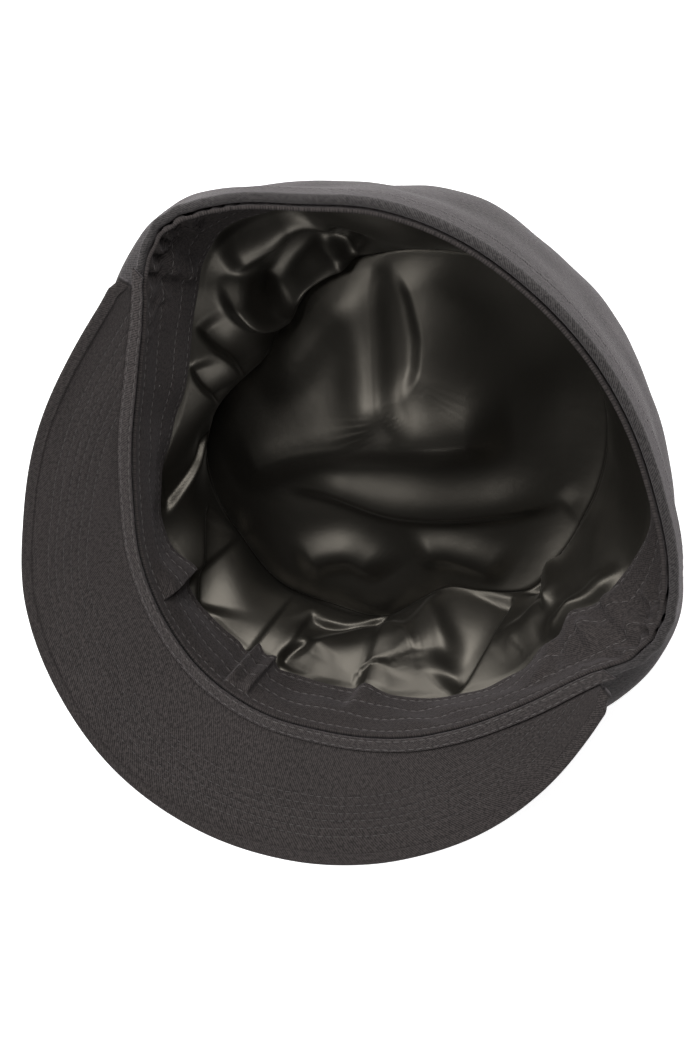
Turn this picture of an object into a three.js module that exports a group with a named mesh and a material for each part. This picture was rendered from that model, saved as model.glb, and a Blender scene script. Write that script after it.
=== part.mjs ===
// A soft officer cap, turned over: it rests on its flat crown and opens up.
// Millimetres, +Z up, origin in the middle of the crown's outer face, peak towards -Y.
// Angles are degrees round the cap from the front: 0 is the middle of the peak, +90 is +X, 180 is the back.

import * as THREE from "three";
import { ParametricGeometry } from "three/addons/geometries/ParametricGeometry.js";
import { mergeVertices } from "three/addons/utils/BufferGeometryUtils.js";

// Crown: a top oval, a wider belly and the rim, each an oval of its own
const crownHeight = 72;
const topWidth = 142;
const topLength = 152;
const bellyWidth = 210;
const bellyLength = 190;
const bellyShare = 0.65; // height of the belly, as a share of the crown's
const rimWidth = 200;
const rimLength = 184;
const crownWall = 1.4;
const topWall = 1.4;
const hemDepth = 8; // turned hem at the rim
const hemWall = 3.2;
const hemStep = 0.5; // how far the hem stands proud of the wall

// Sweatband
const bandDepth = 31;
const bandWall = 1.6;
const bandDrop = 0.5; // from the rim down to the band's upper edge
const pinchDepth = 5;

// Elastic gathers behind both ends of the peak
const gatherDepth = 1.6; // from crest to hollow
const gatherReach = 30; // how far below the rim they fade out

// Lining
const liningWall = 1;
const liningLift = 11; // height of the lining's seam over the floor
const liningTuck = 8; // overlap with the sweatband
const liningDip = 2; // how far the middle of the lining's top panel lies below its seam
const foldDepth = 5; // deepest fold of the side panel
const ridgeHeight = 7; // highest ridge of the top panel

// Peak
const peakDepth = 42; // along its slope, in the middle
const peakSlope = 25; // degrees above level
const peakWall = 2.6;
const peakEnd = 95.2; // degrees from the front to either end
const bindingWidth = 4;
const bindingStep = 0.3; // how far the border stands proud of the peak's faces
const tapeEnd = 98.6;
const tapeWidth = 4.4;
const tapeWall = 1;

// Between neighbours
const gap = 0.3;
const looseGap = 0.6; // between the lining and the sweatband's outer face

// Facets: columns round the cap, closer together where the elastic gathers it
const zones = [
  { from: -180, to: -124, steps: 9 },
  { from: -124, to: -90, steps: 20 },
  { from: -90, to: 90, steps: 34 },
  { from: 90, to: 124, steps: 20 },
  { from: 124, to: 180, steps: 9 },
];
const wallRows = 6;
const bandRows = 2; // between the hem and the part that the lining is tucked behind
const liningRows = 4;
const topRings = 5;
const peakRows = 3;

// Outline of the worn cap, with the front left pushed in. rim and band are shares of the rim's oval,
// belly of the belly's, seam (the lining's) of the top's, and peak of the peak's depth.
const outline = [
  { angle: -180, rim: 1.025, belly: 0.975, band: 0.93, seam: 0.92, peak: 0 },
  { angle: -165, rim: 1.028, belly: 0.985, band: 0.93, seam: 0.89, peak: 0 },
  { angle: -150, rim: 1.02, belly: 0.955, band: 0.905, seam: 0.86, peak: 0 },
  { angle: -135, rim: 1.0, belly: 0.93, band: 0.88, seam: 0.845, peak: 0 },
  { angle: -120, rim: 1.027, belly: 0.95, band: 0.9, seam: 0.845, peak: 0 },
  { angle: -108, rim: 1.037, belly: 1.0, band: 0.9, seam: 0.82, peak: 0.06 },
  { angle: -100, rim: 0.975, belly: 1.01, band: 0.86, seam: 0.787, peak: 0.14 },
  { angle: -94, rim: 0.9, belly: 1.0, band: 0.8, seam: 0.775, peak: 0.2 },
  { angle: -87, rim: 0.84, belly: 0.985, band: 0.76, seam: 0.768, peak: 0.31 },
  { angle: -75, rim: 0.788, belly: 0.945, band: 0.71, seam: 0.772, peak: 0.48 },
  { angle: -60, rim: 0.779, belly: 0.93, band: 0.729, seam: 0.917, peak: 0.645 },
  { angle: -45, rim: 0.804, belly: 0.945, band: 0.81, seam: 1.01, peak: 0.775 },
  { angle: -30, rim: 0.864, belly: 0.965, band: 0.9, seam: 1.037, peak: 0.9 },
  { angle: -15, rim: 0.922, belly: 0.99, band: 0.95, seam: 1.02, peak: 0.965 },
  { angle: 0, rim: 0.965, belly: 1.01, band: 0.97, seam: 1.03, peak: 1.0 },
  { angle: 15, rim: 0.965, belly: 1.0, band: 0.955, seam: 0.97, peak: 1.0 },
  { angle: 30, rim: 0.929, belly: 0.98, band: 0.9, seam: 0.945, peak: 0.975 },
  { angle: 42, rim: 0.907, belly: 0.97, band: 0.885, seam: 0.833, peak: 0.9 },
  { angle: 52, rim: 0.892, belly: 0.975, band: 0.87, seam: 0.79, peak: 0.81 },
  { angle: 62, rim: 0.877, belly: 0.985, band: 0.855, seam: 0.855, peak: 0.72 },
  { angle: 75, rim: 0.875, belly: 1.0, band: 0.835, seam: 0.955, peak: 0.555 },
  { angle: 88, rim: 0.905, belly: 1.025, band: 0.815, seam: 0.93, peak: 0.33 },
  { angle: 96, rim: 0.95, belly: 1.035, band: 0.82, seam: 0.92, peak: 0.18 },
  { angle: 104, rim: 1.035, belly: 1.025, band: 0.84, seam: 0.91, peak: 0.1 },
  { angle: 112, rim: 1.07, belly: 1.005, band: 0.88, seam: 0.91, peak: 0 },
  { angle: 122, rim: 1.06, belly: 0.965, band: 0.91, seam: 0.91, peak: 0 },
  { angle: 135, rim: 1.033, belly: 0.95, band: 0.9, seam: 0.91, peak: 0 },
  { angle: 150, rim: 1.026, belly: 0.955, band: 0.915, seam: 0.91, peak: 0 },
  { angle: 165, rim: 1.026, belly: 0.97, band: 0.93, seam: 0.915, peak: 0 },
];

// Gathers of the elastic: middle and span in degrees
const gathers = [
  { middle: -107, span: 30, ribs: 6 },
  { middle: 108, span: 30, ribs: 6 },
];

// Pinches that stand out of the sweatband's lower edge: depth is a share of pinchDepth
const pinches = [
  { angle: -17, width: 5, depth: 1.0 },
  { angle: 4, width: 6, depth: 0.7 },
  { angle: 29, width: 6, depth: 0.8 },
  { angle: 80, width: 6, depth: 0.5 },
  { angle: 93, width: 6, depth: 0.9 },
];

// Folds of the lining's side panel: width in degrees, depth a share of foldDepth,
// lean the degrees that a fold runs sideways from the band down to the seam
const sideFolds = [
  { angle: -152, width: 9, depth: 0.6, lean: 6 },
  { angle: -128, width: 9, depth: 0.7, lean: -6 },
  { angle: -100, width: 9, depth: 1.0, lean: -10 },
  { angle: -78, width: 6, depth: 0.7, lean: 6 },
  { angle: -62, width: 6, depth: 0.5, lean: 8 },
  { angle: -40, width: 7, depth: 0.7, lean: -8 },
  { angle: -18, width: 6, depth: 0.5, lean: 4 },
  { angle: 4, width: 6, depth: 0.6, lean: 8 },
  { angle: 24, width: 8, depth: 0.7, lean: 6 },
  { angle: 50, width: 8, depth: 1.0, lean: 14 },
  { angle: 76, width: 8, depth: 0.9, lean: -6 },
  { angle: 100, width: 8, depth: 0.7, lean: 6 },
  { angle: 126, width: 9, depth: 0.5, lean: -6 },
  { angle: 152, width: 9, depth: 0.6, lean: 6 },
  { angle: 176, width: 9, depth: 0.5, lean: -4 },
];

// Ridges and valleys of the lining's top panel, from one point to another in shares of its half width and
// half length: height is a share of ridgeHeight, width a share of the half width
const ridges = [
  { x: -0.65, y: 0.54, toX: -0.12, toY: -0.02, width: 0.12, height: 1.0 },
  { x: -0.12, y: -0.02, toX: 0.31, toY: 0.31, width: 0.12, height: 0.6 },
  { x: -0.12, y: -0.43, toX: 0.84, toY: 0.37, width: 0.14, height: 0.8 },
  { x: -0.5, y: -0.15, toX: -0.45, toY: -0.65, width: 0.16, height: 0.5 },
  { x: 0.55, y: 0.62, toX: 0.92, toY: 0.5, width: 0.12, height: 0.6 },
  { x: 0.1, y: -0.62, toX: 0.7, toY: -0.1, width: 0.12, height: 0.5 },
  { x: -0.31, y: -0.3, toX: 0.33, toY: 0.16, width: 0.1, height: -0.5 },
  { x: -0.4, y: 0.5, toX: -0.12, toY: 0.16, width: 0.12, height: -0.5 },
  { x: 0.1, y: 0.5, toX: 0.5, toY: 0.75, width: 0.2, height: -0.4 },
];

const twill = { color: 0x2b2726, roughness: 0.9, metalness: 0 };
const satin = { color: 0x37342d, roughness: 0.35, metalness: 0 };

// Value of a column of the outline at an angle: a smooth curve through its rows, closed round the cap.
function along(column, angle) {
  const count = outline.length;
  const first = outline[0].angle;
  const turn = THREE.MathUtils.euclideanModulo(angle - first, 360) + first;
  const here = outline.findLastIndex((row) => row.angle <= turn);
  const row = (i) => outline[(i + count) % count];
  const at = (i) => row(i).angle + 360 * Math.floor(i / count);
  const slope = (i) => (row(i + 1)[column] - row(i - 1)[column]) / (at(i + 1) - at(i - 1));
  const step = at(here + 1) - at(here);
  const t = (turn - at(here)) / step;
  const rise = row(here + 1)[column] - row(here)[column];
  const ease = t * t * (3 - 2 * t);
  const bend = t * (1 - t) * ((1 - t) * slope(here) - t * slope(here + 1));
  return row(here)[column] + rise * ease + step * bend;
}

// Radius of a plain oval at an angle.
function oval(width, length, angle) {
  const turn = THREE.MathUtils.degToRad(angle);
  return 0.5 / Math.hypot(Math.sin(turn) / width, Math.cos(turn) / length);
}

// Point at an angle, a radius and a height.
function spot(angle, radius, height) {
  const turn = THREE.MathUtils.degToRad(angle);
  return new THREE.Vector3(radius * Math.sin(turn), -radius * Math.cos(turn), height);
}

// Bell that is 1 at 0 and has all but gone at 2.
function bell(x) {
  return Math.exp(-x * x);
}

// Shortest turn from one angle to another, in degrees.
function turnTo(angle, middle) {
  return THREE.MathUtils.euclideanModulo(angle - middle + 180, 360) - 180;
}

// Angles of the columns round the cap.
const columns = zones.flatMap((zone) =>
  Array.from({ length: zone.steps }, (_, i) => zone.from + ((zone.to - zone.from) * i) / zone.steps),
);

// Angles of the columns that a strip round the front reaches over.
function columnsWithin(end) {
  return columns.filter((angle) => Math.abs(angle) < end);
}

// Depth of the elastic's ribs at a place on the wall: out on a crest, in between two.
function gathered(angle, height) {
  const fade = THREE.MathUtils.smoothstep(height, crownHeight - gatherReach, crownHeight);
  const rib = ({ middle, span, ribs }) => {
    const t = turnTo(angle, middle) / span;
    const inside = Math.abs(t) < 0.5;
    return inside ? Math.cos(2 * Math.PI * ribs * t) * Math.cos(Math.PI * t) ** 2 : 0;
  };
  return (gatherDepth / 2) * fade * gathers.reduce((sum, row) => sum + rib(row), 0);
}

// Outer radius of the crown's side: a quarter wave from the top oval out to the belly, then in to the rim.
function crownRadius(angle, height) {
  const share = height / crownHeight;
  const top = oval(topWidth, topLength, angle);
  const belly = along("belly", angle) * oval(bellyWidth, bellyLength, angle);
  const rim = along("rim", angle) * oval(rimWidth, rimLength, angle);
  const below = Math.sin((Math.PI / 2) * Math.min(share / bellyShare, 1));
  const above = THREE.MathUtils.smoothstep(share, bellyShare, hemFoot / crownHeight);
  const girth = share < bellyShare ? THREE.MathUtils.lerp(top, belly, below) : THREE.MathUtils.lerp(belly, rim, above);
  return girth + gathered(angle, height);
}

// Point that lies a given depth inside a surface of revolution-like radius, square to its slope.
function inside(radiusAt, angle, height, depth) {
  const rise = 0.01;
  const slope = (radiusAt(angle, height + rise) - radiusAt(angle, height - rise)) / (2 * rise);
  const length = Math.hypot(1, slope);
  return spot(angle, radiusAt(angle, height) - depth / length, height + (depth * slope) / length);
}

// Numbers spread evenly from one value to another, both ends included.
function spread(from, to, steps) {
  return Array.from({ length: steps + 1 }, (_, i) => from + ((to - from) * i) / steps);
}

// Closed surface through a grid of points: the rows always close on themselves. A ring's columns close too,
// and a strip's end in its own end sections.
function closedSurface(angles, section, isRing) {
  const rows = section(angles[0]).length;
  const grid = angles.map(section);
  if (isRing) {
    grid.push(grid[0]);
  } else {
    const middle = (loop) => {
      const centre = loop.reduce((sum, p) => sum.add(p), new THREE.Vector3()).divideScalar(rows);
      return loop.map(() => centre);
    };
    grid.unshift(middle(grid[0]));
    grid.push(middle(grid.at(-1)));
  }
  const steps = grid.length - 1;
  const place = (u, v, target) => target.copy(grid[Math.round(u * steps)][Math.round(v * rows) % rows]);
  return solidFrom(new ParametricGeometry(place, steps, rows));
}

// Geometry with its shared points merged and its collapsed faces taken out.
function solidFrom(geometry) {
  geometry.deleteAttribute("normal");
  geometry.deleteAttribute("uv");
  const merged = mergeVertices(geometry, 1e-3);
  const corners = Array.from(merged.index.array);
  const kept = [];
  for (let i = 0; i < corners.length; i += 3) {
    const face = corners.slice(i, i + 3);
    if (new Set(face).size === 3) kept.push(...face);
  }
  merged.setIndex(kept);
  merged.computeVertexNormals();
  return merged;
}

const cap = new THREE.Group();
cap.name = "officer_cap";

function add(name, geometry, look) {
  const mesh = new THREE.Mesh(geometry, new THREE.MeshStandardMaterial(look));
  mesh.name = name;
  cap.add(mesh);
}

// Side of the crown: out over the wall and its hem, round the rim, and back down inside.
const hemInner = hemWall - hemStep;
const hemFoot = crownHeight - hemDepth;

function crownSection(angle) {
  const roll = hemWall / 2;
  const outer = spread(0, hemFoot, wallRows).map((height) => [height, 0]);
  const hemOut = [[hemFoot + hemStep, -hemStep]];
  const round = spread(0, Math.PI, 4).map((turn) => [
    crownHeight - roll + roll * Math.sin(turn),
    roll - hemStep - roll * Math.cos(turn),
  ]);
  const hemIn = [[hemFoot, hemInner]];
  const inner = spread(hemFoot - hemStep, 0, wallRows).map((height) => [height, crownWall]);
  return [...outer, ...hemOut, ...round, ...hemIn, ...inner].map(([height, depth]) =>
    inside(crownRadius, angle, height, depth),
  );
}

add("crown_side", closedSurface(columns, crownSection, true), twill);

// Top of the crown: a flat oval inside the foot of the side wall.
const topShape = new THREE.Shape(
  columns.map((angle) => {
    const foot = inside(crownRadius, angle, 0, crownWall);
    const reach = Math.hypot(foot.x, foot.y) - gap;
    const { x, y } = spot(angle, reach, 0);
    return new THREE.Vector2(x, y);
  }),
);
add(
  "crown_top",
  solidFrom(new THREE.ExtrudeGeometry(topShape, { depth: topWall, bevelEnabled: false })),
  twill,
);

// Sweatband: from just under the rim it hangs down inside the hem to its own lower edge.
const bandTop = crownHeight - bandDrop;
const bandFoot = bandTop - bandDepth;

function pinched(angle) {
  return pinchDepth * pinches.reduce((sum, p) => sum + p.depth * bell(turnTo(angle, p.angle) / p.width), 0);
}

// Outer radius of the sweatband: upright behind the hem, then leaning over to its foot.
function bandRadius(angle, height) {
  const atRim = crownRadius(angle, crownHeight) - hemInner - gap;
  const atFoot = along("band", angle) * oval(rimWidth, rimLength, angle) + bandWall;
  const ease = 1 - THREE.MathUtils.smoothstep(height, bandFoot, hemFoot);
  return THREE.MathUtils.lerp(atRim, atFoot, ease) - pinched(angle) * ease;
}

function bandSection(angle) {
  const heights = [bandFoot, ...spread(bandFoot + liningTuck, hemFoot, bandRows), bandTop];
  const outer = heights.map((height) => spot(angle, bandRadius(angle, height), height));
  const inner = heights.map((height) => spot(angle, bandRadius(angle, height) - bandWall, height));
  return [...outer, ...inner.reverse()];
}

add("sweatband", closedSurface(columns, bandSection, true), twill);

// Side of the lining: tucked up behind the sweatband, then down and in to the seam of its top panel.
function seamRadius(angle) {
  return along("seam", angle) * oval(topWidth, topLength, angle);
}

function folded(angle, down) {
  const fold = (row) => row.depth * bell(turnTo(angle, row.angle + row.lean * down) / row.width);
  return foldDepth * Math.sin(Math.PI * down) * sideFolds.reduce((sum, row) => sum + fold(row), 0);
}

// Inner face of the side panel below the sweatband: down is 0 at the band's foot and 1 at the seam.
function liningPoint(angle, down) {
  const from = bandRadius(angle, bandFoot) + looseGap;
  const radius = THREE.MathUtils.lerp(from, seamRadius(angle), down) - folded(angle, down);
  return [radius, THREE.MathUtils.lerp(bandFoot, liningLift, down)];
}

function liningSection(angle) {
  const path = spread(0, 1, liningRows).map((down) => liningPoint(angle, down));
  const tuckTop = bandFoot + liningTuck;
  const tucked = [bandRadius(angle, tuckTop) + looseGap, tuckTop];
  const inner = [tucked, ...path];
  const outer = inner.map(([radius, height], i) => {
    const [r0, z0] = inner[Math.max(i - 1, 0)];
    const [r1, z1] = inner[Math.min(i + 1, inner.length - 1)];
    const length = Math.hypot(r1 - r0, z1 - z0);
    return [radius + (liningWall * (z0 - z1)) / length, height + (liningWall * (r1 - r0)) / length];
  });
  return [...inner.reverse(), ...outer].reverse().map(([radius, height]) => spot(angle, radius, height));
}

add("lining_side", closedSurface(columns, liningSection, true), satin);

// Top panel of the lining: a loose oval with ridges and valleys that die out at its seam.
function distanceTo(x, y, ridge) {
  const run = new THREE.Vector2(ridge.toX - ridge.x, ridge.toY - ridge.y);
  const from = new THREE.Vector2(x - ridge.x, y - ridge.y);
  const t = THREE.MathUtils.clamp(from.dot(run) / run.lengthSq(), 0, 1);
  return from.sub(run.multiplyScalar(t)).length();
}

function liningTopHeight(angle, share) {
  const { x, y } = spot(angle, share * seamRadius(angle), 0);
  const sum = ridges.reduce((total, ridge) => {
    const away = distanceTo((2 * x) / topWidth, (2 * y) / topLength, ridge);
    return total + ridge.height * bell(away / ridge.width);
  }, 0);
  const loose = 1 - share ** 4;
  return liningLift - liningDip * (1 - share ** 2) + ridgeHeight * sum * loose;
}

function liningTopSection(angle) {
  const reach = seamRadius(angle) - gap;
  const upper = spread(1, 0, topRings).map((share) => spot(angle, share * reach, liningTopHeight(angle, share)));
  const lower = spread(0, 1, topRings).map((share) =>
    spot(angle, share * reach, liningTopHeight(angle, share) - liningWall),
  );
  return [...upper, ...lower];
}

add("lining_top", closedSurface(columns, liningTopSection, true), satin);

// Peak: it leaves the hem just under the rim and climbs outwards at its slope.
const slope = THREE.MathUtils.degToRad(peakSlope);

function rootRadius(angle) {
  return crownRadius(angle, crownHeight) + hemStep + gap;
}

// Point on the peak: out along its slope from the root, and up from its outer face.
function peakPoint(angle, out, up) {
  return spot(
    angle,
    rootRadius(angle) + out * Math.cos(slope),
    crownHeight - peakWall + out * Math.sin(slope) + up,
  );
}

function peakReach(angle) {
  return peakDepth * along("peak", angle);
}

function peakSection(angle) {
  const reach = peakReach(angle) - bindingWidth - gap;
  const lower = spread(0, reach, peakRows).map((out) => peakPoint(angle, out, 0));
  const upper = spread(reach, 0, peakRows).map((out) => peakPoint(angle, out, peakWall));
  return [...lower, ...upper];
}

add("peak", closedSurface(columnsWithin(peakEnd), peakSection, false), twill);

// Border of the peak: a rounded strip round its outer edge.
function bindingSection(angle) {
  const edge = peakReach(angle);
  const foot = edge - bindingWidth;
  const shoulder = edge - bindingWidth / 4;
  return [
    [foot, -bindingStep],
    [shoulder, -bindingStep],
    [edge, peakWall / 4],
    [edge, (3 * peakWall) / 4],
    [shoulder, peakWall + bindingStep],
    [foot, peakWall + bindingStep],
  ].map(([out, up]) => peakPoint(angle, out, up));
}

add("peak_binding", closedSurface(columnsWithin(peakEnd), bindingSection, false), twill);

// Tape over the seam of the peak, the hem and the sweatband: a flat strip on the rim.
function tapeSection(angle) {
  const outer = rootRadius(angle);
  const inner = outer - tapeWidth;
  const foot = crownHeight + gap;
  return [
    spot(angle, inner, foot),
    spot(angle, outer, foot),
    spot(angle, outer, foot + tapeWall),
    spot(angle, inner, foot + tapeWall),
  ];
}

add("seam_tape", closedSurface(columnsWithin(tapeEnd), tapeSection, false), twill);

export default cap;
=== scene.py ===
# %% [markdown]
# # A soft officer cap, lying on its crown
# The cap is sewn from black-brown cotton twill: a flat oval crown, a side wall with a turned hem, a
# stiffened crescent peak and an inner sweatband. Inside hangs a loose lining of glossy olive-black satin.
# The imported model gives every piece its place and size. Here each plain solid gets a finely made cloth
# surface in the same place, and the solid itself stays behind for collisions.

import bmesh
import bpy
import numpy as np
from mathutils import Matrix, Vector


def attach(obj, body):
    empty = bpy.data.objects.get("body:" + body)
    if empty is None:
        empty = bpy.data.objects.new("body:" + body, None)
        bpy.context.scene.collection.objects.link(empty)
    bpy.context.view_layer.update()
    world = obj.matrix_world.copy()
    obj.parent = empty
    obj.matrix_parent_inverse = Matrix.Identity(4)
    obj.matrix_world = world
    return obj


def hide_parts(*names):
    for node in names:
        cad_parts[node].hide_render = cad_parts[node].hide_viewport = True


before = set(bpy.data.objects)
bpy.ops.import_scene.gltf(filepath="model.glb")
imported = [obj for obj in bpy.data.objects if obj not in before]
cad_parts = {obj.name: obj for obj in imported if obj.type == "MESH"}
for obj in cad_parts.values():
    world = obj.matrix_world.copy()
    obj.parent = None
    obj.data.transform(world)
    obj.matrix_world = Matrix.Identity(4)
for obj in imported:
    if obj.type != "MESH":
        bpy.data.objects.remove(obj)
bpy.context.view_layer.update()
print("solids:", sorted(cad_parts))

# %% [markdown]
# ## The outline of a worn cap
# A worn cap is no true oval: the front is pushed in on the left, and elastic gathers it behind both ends
# of the peak. One short table says how far each edge lies from its own oval, all round the cap, and a
# smooth closed curve goes through its rows. Angles are degrees from the middle of the peak, +90 is +X.

# %% Sizes of the cap in millimetres
MM = 0.001
crown_height = 72
top_width, top_length = 142, 152
belly_width, belly_length = 210, 190
belly_share = 0.65
rim_width, rim_length = 200, 184
crown_wall = 1.4
hem_depth, hem_wall, hem_step = 8, 3.2, 0.5
hem_foot = crown_height - hem_depth
hem_inner = hem_wall - hem_step
band_depth, band_wall, band_drop = 31, 1.6, 0.5
band_top = crown_height - band_drop
band_foot = band_top - band_depth
lining_lift, lining_tuck, lining_dip = 11, 8, 2
peak_depth, peak_slope, peak_wall = 42, np.radians(25), 2.6
peak_end, tape_end = 95.2, 98.6
binding_width, binding_step = 4, 0.3
tape_width, tape_wall = 4.4, 1.0
gap, loose_gap = 0.3, 0.6
band_cloth_wall, lining_cloth_wall = 1.1, 0.5
print("crown", crown_height, "high, sweatband from", band_foot, "to", band_top)

# %% Outline table
columns = ["angle", "rim", "belly", "band", "seam", "peak"]
outline = np.array([
    [-180, 1.025, 0.975, 0.93, 0.92, 0],
    [-165, 1.028, 0.985, 0.93, 0.89, 0],
    [-150, 1.02, 0.955, 0.905, 0.86, 0],
    [-135, 1.0, 0.93, 0.88, 0.845, 0],
    [-120, 1.027, 0.95, 0.9, 0.845, 0],
    [-108, 1.037, 1.0, 0.9, 0.82, 0.06],
    [-100, 0.975, 1.01, 0.86, 0.787, 0.14],
    [-94, 0.9, 1.0, 0.8, 0.775, 0.2],
    [-87, 0.84, 0.985, 0.76, 0.768, 0.31],
    [-75, 0.788, 0.945, 0.71, 0.772, 0.48],
    [-60, 0.779, 0.93, 0.729, 0.917, 0.645],
    [-45, 0.804, 0.945, 0.81, 1.01, 0.775],
    [-30, 0.864, 0.965, 0.9, 1.037, 0.9],
    [-15, 0.922, 0.99, 0.95, 1.02, 0.965],
    [0, 0.965, 1.01, 0.97, 1.03, 1.0],
    [15, 0.965, 1.0, 0.955, 0.97, 1.0],
    [30, 0.929, 0.98, 0.9, 0.945, 0.975],
    [42, 0.907, 0.97, 0.885, 0.833, 0.9],
    [52, 0.892, 0.975, 0.87, 0.79, 0.81],
    [62, 0.877, 0.985, 0.855, 0.855, 0.72],
    [75, 0.875, 1.0, 0.835, 0.955, 0.555],
    [88, 0.905, 1.025, 0.815, 0.93, 0.33],
    [96, 0.95, 1.035, 0.82, 0.92, 0.18],
    [104, 1.035, 1.025, 0.84, 0.91, 0.1],
    [112, 1.07, 1.005, 0.88, 0.91, 0],
    [122, 1.06, 0.965, 0.91, 0.91, 0],
    [135, 1.033, 0.95, 0.9, 0.91, 0],
    [150, 1.026, 0.955, 0.915, 0.91, 0],
    [165, 1.026, 0.97, 0.93, 0.915, 0],
])
print("outline:", len(outline), "rows of", columns)


# %% Curves round the cap
def smoothstep(x, low, high):
    """Eases from 0 at low to 1 at high: 3 t squared less 2 t cubed, where t is the share of the way."""
    t = np.clip((x - low) / (high - low), 0, 1)
    return t * t * (3 - 2 * t)


def along(column, angle):
    """A column of the outline at any angle. Between two rows it follows the cubic that has their values
    and, in each row, the slope from the row before it to the row after it."""
    turn = (np.asarray(angle, float) + 180) % 360 - 180
    start, value, count = outline[:, 0], outline[:, columns.index(column)], len(outline)
    here = np.searchsorted(start, turn, side="right") - 1

    def place(i):
        return start[i % count] + 360 * (i // count)

    def rate(i):
        rise = value[(i + 1) % count] - value[(i - 1) % count]
        return rise / (place(i + 1) - place(i - 1))

    step = place(here + 1) - place(here)
    t = (turn - place(here)) / step
    rise = value[(here + 1) % count] - value[here]
    bend = t * (1 - t) * ((1 - t) * rate(here) - t * rate(here + 1))
    return value[here] + rise * t * t * (3 - 2 * t) + step * bend


def oval(width, length, angle):
    """Radius of an oval: 1 over the length of (sine over half width, cosine over half length)."""
    turn = np.radians(angle)
    return 0.5 / np.hypot(np.sin(turn) / width, np.cos(turn) / length)


def bell(x):
    """Bell curve: e to the power of minus x squared."""
    return np.exp(-x * x)


def turn_to(angle, middle):
    """Shortest turn from middle to angle, between -180 and 180 degrees."""
    return (angle - middle + 180) % 360 - 180


def hill(angle, middle, spread, height):
    """Bell of a height round a middle angle, with its spread in degrees."""
    return height * bell(turn_to(angle, middle) / spread)


def spot(angle, radius, height):
    """Point at an angle round the cap: x is radius times sine, y is minus radius times cosine."""
    turn = np.radians(angle)
    parts = np.broadcast_arrays(radius * np.sin(turn), -radius * np.cos(turn), height)
    return np.stack(parts, axis=-1).astype(float)


for name, angle in (("front", 0), ("right", 90), ("back", 180)):
    rim = along("rim", angle) * oval(rim_width, rim_length, angle)
    print("rim radius at the", name, round(float(rim), 1))

# %% [markdown]
# ## Cloth is never quite even
# Real cloth has slow, shallow swells that catch the light. A handful of sine waves in seeded random
# directions add up to such a surface, cheaply and the same in every run.


# %% Slow swells
def swell(u, v, size, seed):
    """Smooth random height near -1 to 1 at points (u, v) in mm. Ten sine waves, each with its own
    direction, phase and a length near size, are added and divided by the root of their number."""
    draw = np.random.default_rng(seed)
    total = 0
    for _ in range(10):
        heading = draw.uniform(0, np.pi)
        pitch = 2 * np.pi / (size * draw.uniform(0.7, 1.6))
        phase = draw.uniform(0, 2 * np.pi)
        total = total + np.sin(pitch * (u * np.cos(heading) + v * np.sin(heading)) + phase)
    return total / np.sqrt(10)


def round_swell(angle, height, size, seed):
    """Swell on the wall of the cap: read on a ring, so that it closes at the back. The height, slightly
    stretched, moves the ring across the swell."""
    ring_radius, stretch = 100, 1.7
    turn = np.radians(angle)
    return swell(ring_radius * np.sin(turn), ring_radius * np.cos(turn) + stretch * height, size, seed)


# %% [markdown]
# ## From a grid of points to a mesh
# Every piece is a grid: columns run round the cap, rows run across the cloth. The faces join each four
# neighbours, a closed direction joins its last line to its first, and the outside is found from the sign
# of the volume, or for an open cloth from a point that its right side looks at. The UV map is the cloth
# rolled out flat, in metres, so that the weave of the material follows every fold.


# %% Mesh helpers
def rolled_out(points, axis):
    """Length in metres from the first line of a grid to each line: mean steps between lines, summed."""
    steps = np.linalg.norm(np.diff(points, axis=axis), axis=-1).mean(axis=1 - axis)
    return np.concatenate([[0], np.cumsum(steps)]) * MM


def is_inside_out(points, quads, looks_at):
    """True if the faces point the wrong way: inwards, or away from the point that they look at."""
    p, q, r, s = (points[quads[:, k]] for k in range(4))
    normal = np.cross(r - p, s - q)
    middle = (p + q + r + s) / 4
    if looks_at is None:
        return (normal * middle).sum() < 0
    return (normal * (np.array(looks_at) - middle)).sum() < 0


def cloth(name, grid, ring=True, loop=False, looks_at=None, flat_uv=False):
    """Object from a grid of points in mm (columns, rows, 3). ring closes the columns, loop the rows. A loop
    that is no ring is a bent bar, whose two ends get lids."""
    count_u, count_v = grid.shape[:2]
    index = np.arange(count_u * count_v).reshape(count_u, count_v)
    full = grid
    if ring:
        index = np.concatenate([index, index[:1]], axis=0)
        full = np.concatenate([full, full[:1]], axis=0)
    if loop:
        index = np.concatenate([index, index[:, :1]], axis=1)
        full = np.concatenate([full, full[:, :1]], axis=1)
    quads = np.stack([index[:-1, :-1], index[1:, :-1], index[1:, 1:], index[:-1, 1:]], -1).reshape(-1, 4)
    u, v = np.meshgrid(rolled_out(full, 0), rolled_out(full, 1), indexing="ij")
    if flat_uv:
        u, v = full[..., 0] * MM, full[..., 1] * MM
    uv = np.stack([u, v], -1)
    corners = np.stack([uv[:-1, :-1], uv[1:, :-1], uv[1:, 1:], uv[:-1, 1:]], -2).reshape(-1, 4, 2)
    if loop and not ring:
        k = np.arange(count_v // 2 - 1)
        for column, turn in ((index[0], 1), (index[-1], -1)):
            lid = np.stack([column[k], column[k + 1], column[count_v - 2 - k], column[count_v - 1 - k]], -1)
            quads = np.concatenate([quads, lid[:, ::turn]])
            corners = np.concatenate([corners, np.zeros((len(lid), 4, 2))])
    points = grid.reshape(-1, 3)
    if is_inside_out(points, quads, looks_at):
        quads, corners = quads[:, ::-1], corners[:, ::-1]
    return mesh_object(name, points, quads, corners)


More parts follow.
